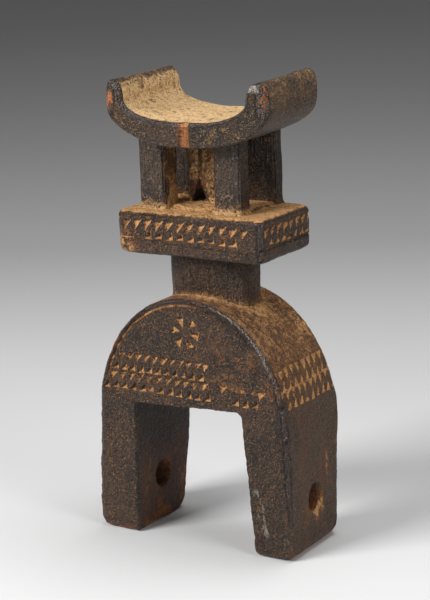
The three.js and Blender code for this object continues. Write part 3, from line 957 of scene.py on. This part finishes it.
paint(neck,
      dust=(0.45 * ease(2.6, 0.4, above) + 0.2 * ease(6, 2, above)
            + 0.25 * ease(0.2, 0.8, rough(p * [1, 1, 0.2], 3.0, 64)) * ease(5, 1, above)),
      wear=0.25 * ease(0.2, 0.8, noise(p, 7.0, 65)),
      crust=0.62 - 0.2 * ease(0.0, 0.8, rough(p * [1, 1, 0.15], 2.4, 66)))
finished(neck, ["neck"], handled_wood)

# %% [markdown]
# ## The platform
# A thick slab with a chip band and an incised line under it on each face. Its rings start in
# the middle of the underside, run out to the edge, climb the sides and come back over the top,
# so one grid covers it all. The top between the posts was left about two millimetres higher
# than the ledge around them, and rough, as the gouge couldn't reach in there.

# %% Platform
platform_low, platform_high = box_mm("platform")
platform_middle = (platform_low + platform_high) / 2
platform_half = (platform_high - platform_low) / 2
PLATFORM_CORNER, TOP_ARRIS, UNDER_ARRIS = 3.6, 2.4, 2.2     # radii
PLATFORM_STEP = 0.42    # mm, between the points of the grid
posts = {name: box_mm(name) for name in
         ("post_front_left", "post_front_right", "post_back_left", "post_back_right")}
posts_low = np.min([low for low, _ in posts.values()], axis=0)
posts_high = np.max([high for _, high in posts.values()], axis=0)


def rounded_rectangle(half_x, half_y, radius, spacing, corner_points=7):
    """A rectangle with round corners, as points round from the middle of its left side."""
    def side(a, b):
        count = max(int(round(np.hypot(*(np.array(b) - a)) / spacing)), 2)
        t = np.linspace(0, 1, count)[:, None]
        return np.array(a) * (1 - t) + np.array(b) * t

    def corner_arc(x, y, start):
        turn = start + quarter(corner_points)
        return np.stack([x + radius * np.cos(turn), y + radius * np.sin(turn)], axis=1)

    w, d = half_x - radius, half_y - radius
    loop = np.concatenate([
        side([-half_x, 0], [-half_x, -d]),
        corner_arc(-w, -d, np.pi), side([-w, -half_y], [w, -half_y]),
        corner_arc(w, -d, 1.5 * np.pi), side([half_x, -d], [half_x, d]),
        corner_arc(w, d, 0), side([w, half_y], [-w, half_y]),
        corner_arc(-w, d, 0.5 * np.pi), side([-half_x, d], [-half_x, 0])[:-1]])
    return loop if len(loop) % 2 == 0 else loop[:-1]


slab = rounded_rectangle(platform_half[0], platform_half[1], PLATFORM_CORNER, PLATFORM_STEP)


def slab_ring(inset, z):
    """The slab's outline moved in by some millimetres on each side, at a height."""
    share = 1 - inset / platform_half[:2]
    return np.stack([platform_middle[0] + slab[:, 0] * share[0],
                     platform_middle[1] + slab[:, 1] * share[1],
                     np.full(len(slab), z)], axis=1)


thickness = platform_high[2] - platform_low[2]
under_turn, top_turn = np.linspace(0, np.pi / 2, 6)[1:], np.linspace(0, np.pi / 2, 7)
side_z = np.arange(UNDER_ARRIS, thickness - TOP_ARRIS, PLATFORM_STEP)[1:]
nearly_in = platform_half[1] * 0.97     # the rings stop just short of the middle
ladder = np.concatenate([np.stack(np.broadcast_arrays(inset, z), axis=1) for inset, z in (
    (np.linspace(nearly_in, UNDER_ARRIS, 26), 0.0),
    (UNDER_ARRIS * (1 - np.sin(under_turn)), UNDER_ARRIS * (1 - np.cos(under_turn))),
    (0.0, side_z),
    (TOP_ARRIS * (1 - np.cos(top_turn)), thickness - TOP_ARRIS * (1 - np.sin(top_turn))),
    (np.linspace(TOP_ARRIS, nearly_in, 40)[1:], thickness))])
platform_rings = np.stack([slab_ring(inset, platform_low[2] + z) for inset, z in ladder])
print("platform grid", platform_rings.shape[:2])

# %% [markdown]
# Each face of the slab carries the same band: hanging chips, a shorter row of standing chips
# under them, and a line scratched below by an unsteady hand. Dust lies thick on top, and the
# upright at the front right corner and the top's arris are rubbed.

# %% Platform carving
BAND_HIGH, BAND_LOW = 125.6, 122.2      # Z of the middles of the two rows
CHIPS_FROM = 120.6                      # Z of the lower row's foot


def platform_cut(points):
    """Depth of the chip bands and incised lines on the four faces of the slab."""
    x, y, z = parts_of(points)
    cut = np.zeros_like(x)
    faces = [  # depth inside, place along, upper row, lower row, variation, line and its slope
        (y - platform_low[1], x, -24.5, 4.72, 12, -15.5, 9, 71, 119.3, -0.045),
        (platform_high[0] - x, y, -15.0, 4.6, 8, -12.5, 7, 72, 119.4, 0.0),
        (platform_high[1] - y, -x, -24.5, 4.72, 12, -22.0, 11, 73, 119.3, -0.02),
        (x - platform_low[0], -y, -15.0, 4.6, 8, -12.5, 7, 74, 119.4, 0.0),
    ]
    for inside, u, first, pitch, count, first_low, count_low, seed, line, slope in faces:
        on = ease(1.5, 0.9, inside)
        rows = np.maximum(
            chip_row(u, z, first, pitch, count, BAND_HIGH, HANGING, (4.3, 4.5), seed=seed),
            chip_row(u, z, first_low, pitch, count_low, BAND_LOW, STANDING, (3.8, 3.3),
                     seed=seed + 9))
        wander = 0.25 * noise(points, 9.0, seed)
        scratch = groove(np.abs(z - line - slope * u - wander), 0.9, 0.4)
        cut = np.maximum(cut, on * (rows + scratch))
    return cut


def between_posts(points):
    """1 inside the rectangle of the posts and 0 outside it, with a short slope."""
    x, y = points[..., 0], points[..., 1]
    return (ease(-0.5, 1.5, x - posts_low[0]) * ease(-0.5, 1.5, posts_high[0] - x)
            * ease(2.5, 5.5, y - posts_low[1]) * ease(-0.5, 1.5, posts_high[1] - y))


on_top = ease(0.75, 0.95, ring_normals(platform_rings)[..., 2])
height = (0.35 * noise(platform_rings, 16.0, 75) + 0.14 * noise(platform_rings, 5.0, 76)
          + 0.10 * rough(platform_rings, 2.4, 77, 2) + 0.05 * noise(platform_rings, 0.9, 78))
height = height * (1 - 0.3 * on_top) - platform_cut(platform_rings)
height = height + on_top * between_posts(platform_rings) * (
    1.3 + 0.5 * rough(platform_rings, 5.0, 79))
platform = solid_from_rings("platform_carved", moved(platform_rings, height))

# %% Paint the platform
p, n = points_of(platform)
x, y, z = parts_of(p)
from_left, from_right = x - platform_low[0], platform_high[0] - x
from_front, from_back = y - platform_low[1], platform_high[1] - y
below_top = platform_high[2] - z
inside = np.minimum.reduce([from_left, from_right, from_front, from_back])
top = ease(0.55, 0.9, n[:, 2]) * ease(1.5, 0.6, below_top)
upright = ease(3.2, 1.0, np.hypot(from_right, from_front))
in_cut = ease(0.02, 0.3, platform_cut(p))
# painted light and shade: chip walls facing the key light get paler dust, the others less and
# darker
lit_wall = ease(-0.6, -0.15, 0.85 * n[:, 2] - 0.5 * n[:, 0] * (from_right > 1))
low_left = ease(10, 3, np.hypot(from_left - 3, (z - 117.5) * 1.1)) * ease(1.4, 0.6, from_front)
arris = ease(2.2, 0.4, below_top) * ease(2.4, 0.6, inside)
dust = (0.14 + top + 0.78 * in_cut * (0.4 + 0.6 * lit_wall) * (z > CHIPS_FROM)
        + 0.72 * low_left * ease(-0.8, 0.2, rough(p, 1.8, 84))
        + 0.25 * ease(0.2, 0.9, rough(p, 5.0, 80)))
paint(platform,
      dust=dust * (1 - 0.6 * in_cut * (1 - lit_wall)),
      wear=(0.9 * upright + 0.75 * arris * (1 - top)
            * ease(-0.4, 0.4, noise(p, 6.0, 81) + 0.02 * x)),
      bare=0.3 * upright * ease(0.1, 0.5, noise(p, 3.0, 83)),
      # painted highlight: a pale line on the rounded arris under the top, on the front, stronger to
      # the right
      chalk=0.45 * (1 - top) * ease(1.9, 1.2, below_top) * ease(0.2, 0.7, below_top)
      * ease(1.5, 0.7, from_front) * ease(-14, 6, x),
      crust=0.62 - 0.25 * ease(0.1, 0.7, rough(p, 6.0, 82)))
finished(platform, ["platform"], crusted_wood)

# %% [markdown]
# ## The posts
# Four square-cut posts stand on the platform. Each is a rounded rectangle carried straight up
# into the seat, spread by a dusty fillet at its foot. The posts were cut by knife, so their
# faces wander a little and their arrises are rubbed.

# %% Posts
platform_top = platform_high[2]
seat_low, seat_high = box_mm("seat")


FOOT_SUNK = 0.8     # mm, a shaft starts this far inside the platform


def shaft_rings(half_x, half_y, middle, radius, top, twist, foot_spread=0.7, levels_count=64):
    """Rings of a square-cut shaft from just under the platform's top to a height in the seat."""
    loop = rounded_rectangle(half_x, half_y, radius, 0.5, 4)
    out = loop / np.array([half_x, half_y])
    out /= np.maximum(np.abs(out).max(axis=1), 1e-6)[:, None]
    z = np.linspace(platform_top - FOOT_SUNK, top, levels_count)[:, None]
    spread = flare(z - platform_top, 4.0, foot_spread)
    x = loop[None, :, 0] + spread * out[None, :, 0]
    y = loop[None, :, 1] + spread * out[None, :, 1]
    c, s = math.cos(math.radians(twist)), math.sin(math.radians(twist))
    ring = np.stack([middle[0] + x * c - y * s, middle[1] + x * s + y * c,
                     np.broadcast_to(z, x.shape)], axis=2)
    shaking = (0.28 * noise(ring, 11.0, 91) + 0.12 * noise(ring, 3.0, 92)
               + 0.05 * noise(ring, 1.0, 93) + 0.05 * noise(ring * [1, 1, 0.2], 1.4, 94))
    return moved(ring, shaking)


def post_paint(piece, low, high, behind):
    """Dust at the foot, rubbed front arrises, a faint long grain in the crust. A back post, behind
    the front ones, gets painted shade, and a front post's front face a painted sheen.
    """
    p, n = points_of(piece)
    up = p[:, 2] - platform_top
    corner_x = np.minimum(p[:, 0] - low[0], high[0] - p[:, 0])
    corner_y = np.minimum(p[:, 1] - low[1], high[1] - p[:, 1])
    arris = ease(1.3, 0.3, np.hypot(corner_x.clip(0), corner_y.clip(0)))
    # the faces that look between the posts kept their dust
    inward = n[:, 0] * np.sign(-(low[0] + high[0])) + 0.5 * n[:, 1] * np.sign(-(low[1] + high[1]))
    sheltered = ((0.84 + 0.12 * ease(9, 2, up)) * ease(0.3, 0.9, inward)
                 * ease(-0.8, 0.4, rough(p, 7.0, 97)))
    # painted shade: a back post gets more crust and less dust than a front one
    paint(piece,
          dust=((0.62 * ease(4.5, 0.3, up) + 0.3 * ease(10, 2, up)) * (1 - 0.6 * behind) + 0.04
                + sheltered * (1 - 0.7 * behind)
                + 0.2 * ease(0.1, 0.8, rough(p * [1, 1, 0.4], 4.0, 95))),
          wear=0.85 * arris * ease(2, 8, up),
          # painted sheen: pale chalk on the front faces of the front posts
          chalk=0.28 * ease(0.5, 0.9, -n[:, 1]) * (1 - behind),
          crust=0.66 + 0.3 * behind - 0.3 * ease(0.0, 0.8, rough(p * [1, 1, 0.3], 4.0, 96)))


POSTS_TWIST = -1.0              # degrees about +Z
POST_CORNER, POST_SUNK = 0.9, 2.6       # mm, and how far a post's head is inside the seat
WIDER_BACK_LEFT = 0.8           # mm, half of what this post is wider than its CAD box
for name, (low, high) in posts.items():
    middle, half = (low + high) / 2, (high - low) / 2
    lean = math.radians(abs(POSTS_TWIST))
    half_x = half[0] * math.cos(lean) - half[1] * math.sin(lean)
    half_y = half[1] * math.cos(lean) - half[0] * math.sin(lean)
    if name == "post_back_left":    # no light shows between it and the post in front
        middle, half_x = middle - [WIDER_BACK_LEFT, 0, 0], half_x + WIDER_BACK_LEFT
    post = solid_from_rings(name + "_carved", shaft_rings(
        half_x, half_y, middle, POST_CORNER, high[2] + POST_SUNK, POSTS_TWIST))
    post_paint(post, low, high, behind=float(middle[1] > 0))
    finished(post, [name], handled_wood)

# %% [markdown]
# ## The column
# The column in the middle is a fifth post with a triangular tunnel cut through its foot, from
# front to back, and a shallow groove running down its front to the tunnel's peak. The groove is
# pressed into the rings, and the tunnel is taken out with a closed cutter.

# %% Column
column_low, column_high = box_mm("centre_column")
column_middle, column_half = (column_low + column_high) / 2, (column_high - column_low) / 2
TUNNEL_X, TUNNEL_BASE, TUNNEL_HEIGHT = -4.0, 6.2, 8.8
TUNNEL_SILL = platform_top + 1.3
GROOVE_WIDTH, GROOVE_DEPTH = 2.6, 0.7


def from_groove(x, z):
    """Distance from the groove, which leans a little to the right on its way up."""
    return np.abs(x - TUNNEL_X - 0.05 * (z - TUNNEL_SILL))


column_rings = shaft_rings(column_half[0] - 0.1, column_half[1] - 0.1, column_middle,
                           POST_CORNER, column_high[2] + 0.6, POSTS_TWIST, levels_count=80)
x, y, z = parts_of(column_rings)
column_rings[..., 1] = y + (groove(from_groove(x, z), GROOVE_WIDTH, GROOVE_DEPTH)
                            * ease(1.2, 0.6, y - column_low[1])
                            * ease(8, 10, z - platform_top))
column = solid_from_rings("centre_column_carved", column_rings)

tunnel_y = np.linspace(column_low[1] - 3, column_high[1] + 3, 24)
corners = np.array([[-0.5, 0.0], [0.5, 0.0], [0.0, 1.0]]) * [TUNNEL_BASE, TUNNEL_HEIGHT]
triangle = np.array([corners[i] + (corners[(i + 1) % 3] - corners[i]) * t
                     for i in range(3) for t in np.linspace(0, 1, 12, endpoint=False)])
from_mouth = np.minimum(tunnel_y - column_low[1], column_high[1] - tunnel_y).clip(0)
wider = (1 + 0.22 * np.exp(-from_mouth / 1.2))[:, None]
tunnel = np.stack(np.broadcast_arrays(
    TUNNEL_X + triangle[:, 0] * wider, tunnel_y[:, None],
    TUNNEL_SILL + triangle[:, 1] * wider ** 0.5), axis=2)
tunnel[..., 0] += 0.12 * noise(tunnel, 2.5, 101)
column = drilled(column, solid_from_rings("tunnel_cutter", tunnel))
p, n = points_of(column)
x, y, z = parts_of(p)
up, from_front = z - platform_top, y - column_low[1]
from_side = np.minimum(x - column_low[0], column_high[0] - x)
in_groove = ease(1.1, 0.5, from_groove(x, z)) * ease(10, 12, up) * ease(2.0, 1.2, from_front)
in_tunnel = (ease(4.2, 3.2, np.abs(x - TUNNEL_X)) * ease(10.5, 9, up)
             * ease(0.0, 0.4, from_front))
streaks = 0.6 + 0.4 * ease(-0.9, 0.3, rough(p * [1, 1, 0.4], 4.0, 102))
paint(column,
      dust=((0.85 * ease(4.0, 0.3, up) + 0.80 * (1 - 0.6 * in_groove) * streaks)
            * (1 - in_tunnel) + 0.8 * in_tunnel * (n[:, 2] > 0.5)),
      wear=0.5 * ease(1.3, 0.3, from_side) * ease(1.5, 0.4, from_front),
      bare=0.9 * in_tunnel * ease(5.0, 6.5, up),
      # painted shade: the tunnel's walls below its middle are painted dark
      crust=0.10 + 0.7 * in_tunnel * ease(7, 5, up) + 0.2 * (from_front > 3))
finished(column, ["centre_column"], handled_wood)

# %% [markdown]
# ## The seat
# A crescent with upturned ends. Its section, a thickness across by a depth front to back, swings
# from the left tip through the bottom of the dish to the right tip: the underside and the dish
# are two half ovals read at the same share of their length. Past each end the section closes in
# a half circle. The seat stands turned a few degrees on its posts.

# %% Seat
SEAT_HALF, SEAT_DEPTH, SEAT_THICK, SEAT_DISH = 33.8, 48.6, 9.7, 15.0
SEAT_TIPS, SEAT_TWIST = (4.1, 4.8), 6.0         # half thickness of the left and the right tip
SEAT_PLAN, SEAT_WORN_CORNER = 4.4, 6.4          # plan rounding; the worn front right corner's
UNDER_FULLNESS, DISH_FULLNESS = (2.15, 2.4), (2.2, 2.2)     # on the left and on the right
TIP_DROP = 2.4          # how far below the half circle's middle the tips' rounding begins
seat_middle_x = (seat_low[0] + seat_high[0]) / 2
seat_rise = SEAT_THICK + SEAT_DISH - SEAT_TIPS[0]
STATIONS, TIP_STATIONS = 230, 14


def bowl(halves, depth, left_fullness, right_fullness, count=1441):
    """The lower half of a superellipse, from its left end to its right end, a little below
    height 0. The two sides may differ in width and fullness."""
    turn = np.linspace(np.pi, 2 * np.pi, count)
    fullness = np.where(np.cos(turn) < 0, left_fullness, right_fullness)
    half = np.where(np.cos(turn) < 0, *halves)
    return np.stack([half * np.sign(np.cos(turn)) * np.abs(np.cos(turn)) ** (2 / fullness),
                     -TIP_DROP - (depth - TIP_DROP) * np.abs(np.sin(turn)) ** (2 / fullness)],
                    axis=1)


half_in = [SEAT_HALF - 2 * thickness for thickness in SEAT_TIPS]
under = resampled(bowl((SEAT_HALF, SEAT_HALF), seat_rise, *UNDER_FULLNESS), STATIONS)
dish = resampled(bowl(half_in, seat_rise - SEAT_THICK, *DISH_FULLNESS), STATIONS)
closing = np.linspace(0, np.radians(80), TIP_STATIONS + 1)[1:]


def tip(side):
    """Underside and dish points of the half circle that closes one end, going up."""
    half_thick = SEAT_TIPS[0 if side < 0 else 1]
    middle = side * (SEAT_HALF - half_thick)
    reach = side * half_thick * np.cos(closing)
    up = -TIP_DROP + (SEAT_TIPS[0] + TIP_DROP) * np.sin(closing)
    return (np.stack([middle + reach, up], axis=1), np.stack([middle - reach, up], axis=1))


left_tip, right_tip = tip(-1), tip(1)
under_line = np.concatenate([left_tip[0][::-1], under, right_tip[0]])
dish_line = np.concatenate([left_tip[1][::-1], dish, right_tip[1]])


def seat_rings(under_line, dish_line):
    """Section rings: round a rectangle between the two lines and between front and back, whose
    corners are rounded, and whose depth shrinks where the seat's plan is rounded at its ends."""
    ray = dish_line - under_line
    thick = np.linalg.norm(ray, axis=1)[:, None]
    half_depth = SEAT_DEPTH / 2
    radius = np.minimum(1.7, 0.45 * thick)
    turn = quarter(5)[None, :]
    t_face = np.linspace(0, 1, 20)[None, :]
    t_long = np.linspace(0, 1, 84)[None, :]
    parts = [
        (radius + t_face * (thick - 2 * radius), -half_depth + 0 * t_face),
        (thick - radius * (1 - np.sin(turn)), -half_depth + radius * (1 - np.cos(turn))),
        (thick + 0 * t_long, (half_depth - radius) * (2 * t_long - 1)),
        (thick - radius * (1 - np.cos(turn)), half_depth - radius * (1 - np.sin(turn))),
        (thick - radius - t_face * (thick - 2 * radius), half_depth + 0 * t_face),
        (radius * (1 - np.sin(turn)), half_depth - radius * (1 - np.cos(turn))),
        (0 * t_long * thick, (half_depth - radius) * (1 - 2 * t_long)),
        (radius * (1 - np.cos(turn)), -half_depth + radius * (1 - np.sin(turn))),
    ]
    s = np.concatenate([np.broadcast_to(a, (len(thick), a.shape[1])) for a, _ in parts], 1)
    y = np.concatenate([np.broadcast_to(b, (len(thick), b.shape[1])) for _, b in parts], 1)
    flat = under_line[:, None, :] + (ray / thick)[:, None, :] * s[:, :, None]
    plan = np.where((flat[..., 0] > 0) & (y < 0), SEAT_WORN_CORNER, SEAT_PLAN)
    past = np.clip(np.abs(flat[..., 0]) - (SEAT_HALF - plan), 0, plan)
    y = y * (1 - (plan - np.sqrt(plan ** 2 - past ** 2)) / half_depth)
    rings = np.stack([flat[..., 0], y, flat[..., 1] + seat_low[2] + seat_rise], axis=2)
    return rings, thick - s


seat, below_dish = seat_rings(under_line, dish_line)
print("seat grid", seat.shape[:2])

# %% Weather the seat
normals = ring_normals(seat)
hollow = ease(0.2, 0.7, normals[..., 2]) * ease(SEAT_HALF - 1, SEAT_HALF - 6, np.abs(seat[..., 0]))
on_front = ease(1.6, 0.9, seat[..., 1] + SEAT_DEPTH / 2)
height = (0.40 * noise(seat, 17.0, 111) + 0.16 * noise(seat, 6.0, 112)
          + (0.08 + 0.05 * hollow) * rough(seat, 2.2, 113, 2) + 0.05 * noise(seat, 0.9, 114))
BAND_X, BAND_WIDTH = -1.2, 5.8
in_band = (on_front * ease(-BAND_WIDTH / 2 - 1.0, -BAND_WIDTH / 2 + 0.3, seat[..., 0] - BAND_X)
           * ease(BAND_WIDTH / 2 + 0.1, BAND_WIDTH / 2 - 0.3, seat[..., 0] - BAND_X))
height = height * ease(-0.5, 4.0, seat_high[2] + 3.2 - seat[..., 2]) - 0.35 * in_band
seat = moved(seat, height)
twist = math.radians(SEAT_TWIST)
seat_local = seat.reshape(-1, 3).copy()
seat_world = seat.copy()
seat_world[..., 0] = (seat_middle_x + seat[..., 0] * math.cos(twist)
                      - seat[..., 1] * math.sin(twist))
seat_world[..., 1] = seat[..., 0] * math.sin(twist) + seat[..., 1] * math.cos(twist)
seat_piece = solid_from_rings("seat_carved", seat_world)
print("the surface moved by", round(height.min(), 2), "to", round(height.max(), 2), "mm")

# %% Paint the seat
_, n = points_of(seat_piece)
p = seat_local
x, y, z = p.T
front = ease(1.7, 0.9, y + SEAT_DEPTH / 2)
back = ease(1.7, 0.9, SEAT_DEPTH / 2 - y)
from_top = seat_high[2] - z
below_dish = below_dish.reshape(-1)
face = (1 - front) * (1 - back)
in_dish = ease(1.2, 0.4, below_dish) * ease(0.3, 1.6, y + SEAT_DEPTH / 2)
in_dish = in_dish * ease(seat_high[2] + 0.2, seat_high[2] - 1.6, z)
rim = ease(2.2, 0.6, below_dish) * ease(2.0, 1.0, y + SEAT_DEPTH / 2)
outer_side = face * ease(SEAT_HALF - 9, SEAT_HALF - 3, np.abs(x)) * (1 - in_dish)
tip_top = ease(4.5, 1.5, from_top)
corner_edge = (ease(4.8, 2.4, y + SEAT_DEPTH / 2)
               * ease(SEAT_HALF - 6.0, SEAT_HALF - 3.6, np.abs(x)))
band = (front * ease(-BAND_WIDTH / 2 - 0.4, -BAND_WIDTH / 2 + 0.4, x - BAND_X)
        * ease(BAND_WIDTH / 2 + 0.15, BAND_WIDTH / 2 - 0.15, x - BAND_X))
wall = ease(6, 1, from_top)
paint(seat_piece,
      dust=((1.1 - 0.4 * wall - 0.2 * ease(12, 26, x) * ease(0, 1, rough(p, 4.0, 119) + 0.5)
             - 0.45 * ease(0.1, 0.6, rough(p, 7.0, 120)))
            * in_dish + 0.12
            + 0.5 * outer_side * ease(17, 4, from_top) * ease(-0.5, 0.5, rough(p, 3.2, 116))
            + 0.3 * front * ease(0.1, 0.8, rough(p, 4.0, 117))) * (1 - band) * (1 - 0.8 * rim),
      wear=(0.95 * rim + 0.9 * corner_edge * ease(17, 7, from_top)
            + 0.8 * front * tip_top + 0.25 * front),
      bare=((0.62 + 0.3 * ease(-1.5, 0.8, x - BAND_X)) * band
            + 0.75 * corner_edge * (x < 0) * ease(2.6, 4.6, from_top) * ease(13, 9, from_top)
            + 0.75 * corner_edge * (x > 0) * ease(15, 8, from_top)
            * ease(-0.5, 0.3, noise(p, 2.5, 118))),
      crust=0.6 - 0.2 * outer_side + 0.1 * front,
      # painted sheen along the front under the dish's left rim, and a painted highlight at the
      # right tip's front corner
      chalk=0.3 * front * ease(1.0, 1.6, below_dish) * ease(3.2, 2.2, below_dish) * ease(-8, -16, x)
      + 0.7 * ease(4.6, 3.0, y + SEAT_DEPTH / 2) * ease(2.8, 1.4, np.abs(x - SEAT_HALF + 5.8))
      * ease(4.4, 2.8, from_top) * ease(0.2, 0.9, from_top))
finished(seat_piece, ["seat"], dusted_wood)

# %% [markdown]
# ## Floor and light
# The block stands on a sheet of pale paper whose grey is painted darker behind it, darkest about
# half a metre back, as painted falloff of the light. The key light hangs over the front left, a
# fill on the right has a quarter of its power, and a light from above brightens the seat and the
# shoulder.

# %% Floor
# the greys below are a painted falloff of the light behind the block
NEAR, FAR = -0.4, 3.2   # metres behind the block, where the paper's grading begins and ends
GREYS = [(-0.4, 0.57), (-0.06, 0.59), (0.0, 0.55), (0.10, 0.53), (0.26, 0.48),
         (0.52, 0.36), (0.95, 0.40), (1.7, 0.51), (2.6, 0.55)]      # distance and grey
floor_mesh = bpy.data.meshes.new("floor")
floor_mesh.from_pydata([(-8, -8, 0), (8, -8, 0), (8, 8, 0), (-8, 8, 0)], [], [(0, 1, 2, 3)])
floor = bpy.data.objects.new("floor", floor_mesh)
bpy.context.scene.collection.objects.link(floor)
paper = bpy.data.materials.new("paper_with_painted_falloff")
paper.use_nodes = True
tree = paper.node_tree
tree.nodes.clear()
floor_place = add_node(tree, "ShaderNodeTexCoord")
away = add_node(tree, "ShaderNodeVectorMath", {"operation": "DOT_PRODUCT"},
                s0=(floor_place, 3), s1=tuple(-backward * [1, 1, 0]))
far = add_node(tree, "ShaderNodeMapRange", Value=(away, 1), From_Min=NEAR, From_Max=FAR)
tone = add_node(tree, "ShaderNodeValToRGB", Fac=(far, 0))
ramp = tone.color_ramp.elements
while len(ramp) < len(GREYS):
    ramp.new(0.5)
for stop, (distance, grey) in zip(ramp, GREYS):
    stop.position = (distance - NEAR) / (FAR - NEAR)
    stop.color = (grey, grey, grey, 1)
sheet = add_node(tree, "ShaderNodeBsdfPrincipled", Base_Color=(tone, 0), Roughness=0.8,
                 Specular_IOR_Level=0.2)
add_node(tree, "ShaderNodeOutputMaterial", Surface=(sheet, 0))
floor_mesh.materials.append(paper)
print("paper graded in", len(GREYS), "steps")


# %% Lights
def soft_light(name, place, target, size, power):
    """A square area light at a place, aimed at a target, all in metres."""
    lamp = bpy.data.lights.new(name, "AREA")
    lamp.shape = "SQUARE"
    lamp.size = size
    lamp.energy = power
    holder = bpy.data.objects.new(name, lamp)
    aim = Vector(target) - Vector(place)
    holder.matrix_world = (Matrix.Translation(place)
                           @ aim.to_track_quat("-Z", "Y").to_matrix().to_4x4())
    bpy.context.scene.collection.objects.link(holder)


soft_light("key", (-0.42, -0.80, 0.66), (0, 0, 0.1), 0.46, 16)
soft_light("fill", (0.92, -0.22, 0.55), (0, 0, 0.09), 0.35, 4.0)
soft_light("top", (0.10, 0.15, 1.0), (0, 0.0, 0.1), 0.5, 6)
world = bpy.data.worlds.new("studio")
world.use_nodes = True
world.node_tree.nodes["Background"].inputs["Color"].default_value = (1, 1, 1, 1)
world.node_tree.nodes["Background"].inputs["Strength"].default_value = 0.12
bpy.context.scene.world = world
bpy.context.scene.view_settings.view_transform = "Standard"
print("three soft lights and a faint white surrounding")
